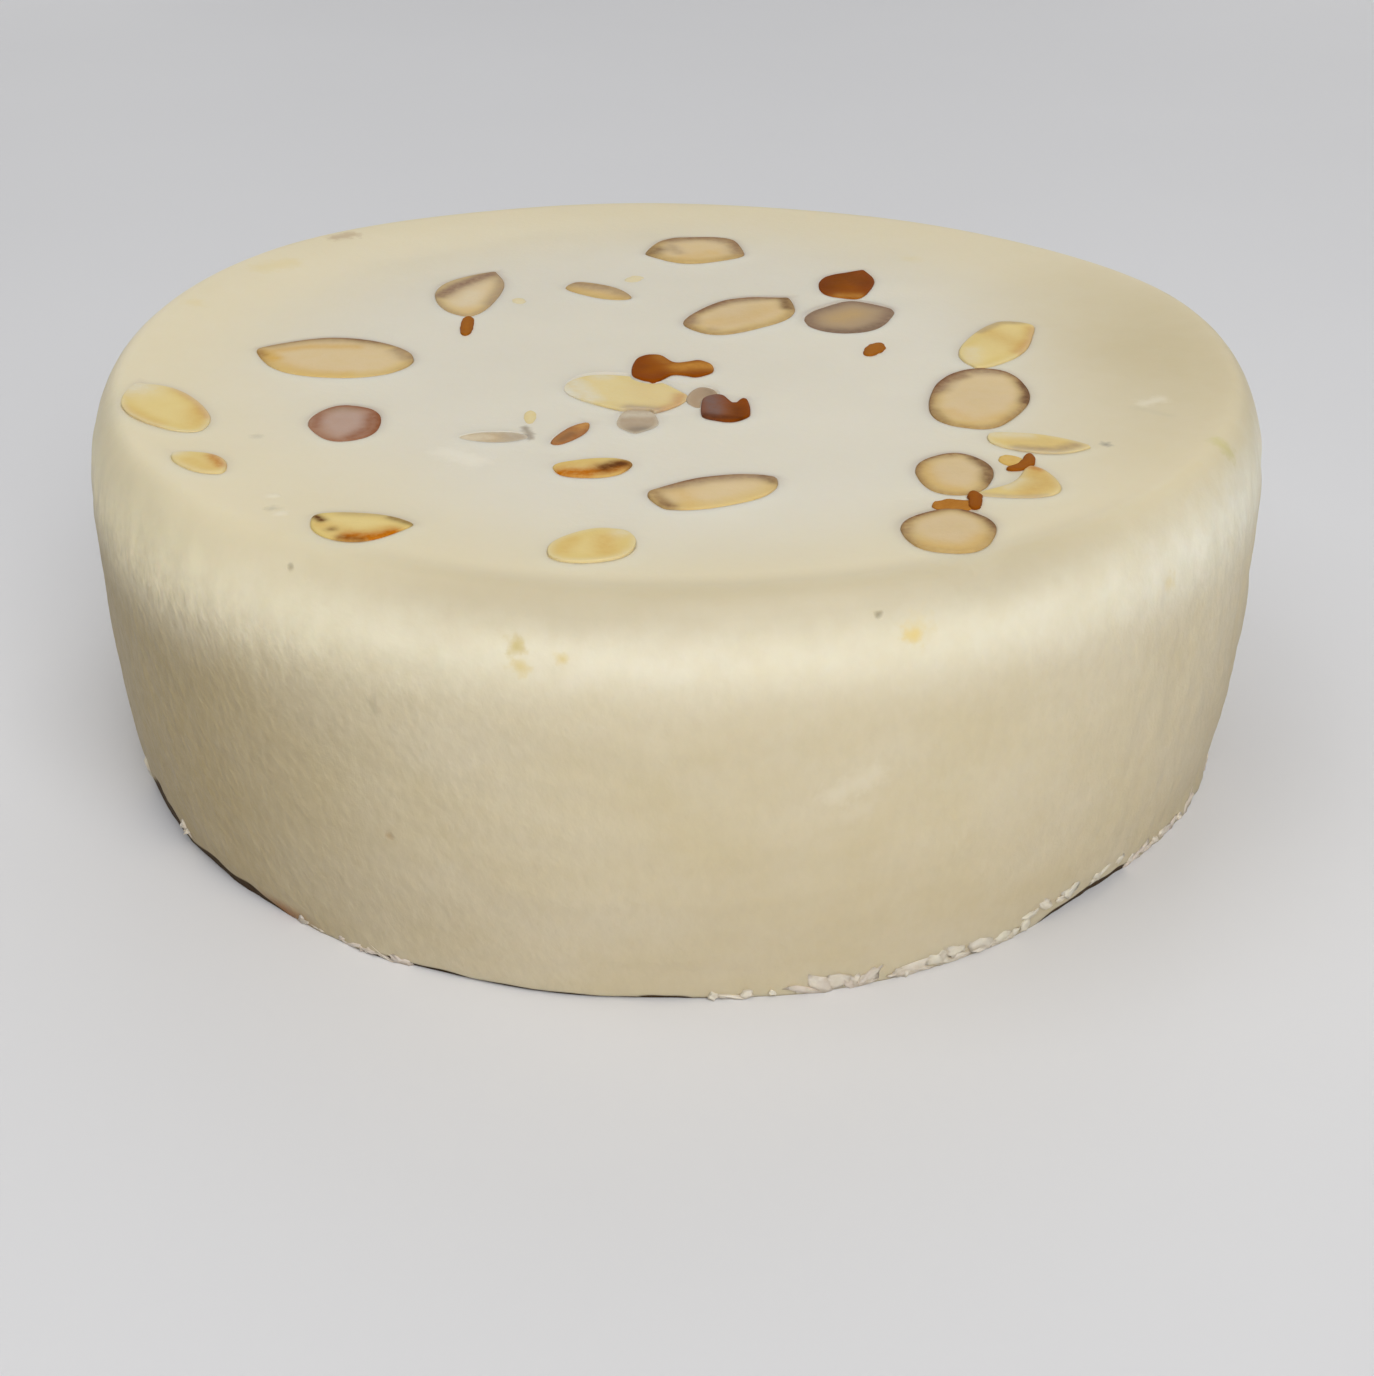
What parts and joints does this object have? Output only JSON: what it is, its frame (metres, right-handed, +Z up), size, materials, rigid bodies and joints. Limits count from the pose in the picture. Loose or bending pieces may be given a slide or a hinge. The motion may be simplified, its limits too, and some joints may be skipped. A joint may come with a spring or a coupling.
{
  "type": "cheesecake",
  "caption": "Whole uncut round cheesecake: a pale custard body with a softly rounded rim, a torn foot edge and thin almond slices set flush into its nearly flat top.",
  "frame": {"origin": "middle of the flat underside, on the surface that the cake stands on", "axes": "+Z up; the side that the picture shows looks along -Y, with +X to its right"},
  "size_m": [0.1778, 0.1782, 0.0586],
  "materials": {
    "custard": "satin, moist",
    "almond_flesh": "satin",
    "almond_yellow": "satin",
    "almond_skin": "satin",
    "almond_rosy": "satin",
    "almond_sunk": "satin, under a film of custard"
  },
  "bodies": {
    "root": {"cake": "custard", "slice_back": "almond_flesh", "slice_back_left": "almond_flesh", "stick_back": "almond_flesh", "slice_mid_back": "almond_flesh", "skin_back_right": "almond_skin", "slice_grey": "almond_sunk", "slice_left": "almond_flesh", "slice_left_edge": "almond_yellow", "sliver_left": "almond_yellow", "slice_rosy": "almond_rosy", "slice_front_left": "almond_yellow", "slice_centre": "almond_yellow", "skin_centre": "almond_skin", "chip_mauve": "almond_sunk", "chip_lilac": "almond_sunk", "chip_dark": "almond_skin", "sliver_pale": "almond_sunk", "splinter_brown": "almond_skin", "sliver_centre": "almond_yellow", "slice_half": "almond_flesh", "slice_front": "almond_yellow", "slice_right_back": "almond_yellow", "slice_right_large": "almond_flesh", "sliver_right": "almond_yellow", "slice_right_mid": "almond_flesh", "slice_right_hook": "almond_yellow", "slice_right_front": "almond_flesh"}
  },
  "joints": []
}
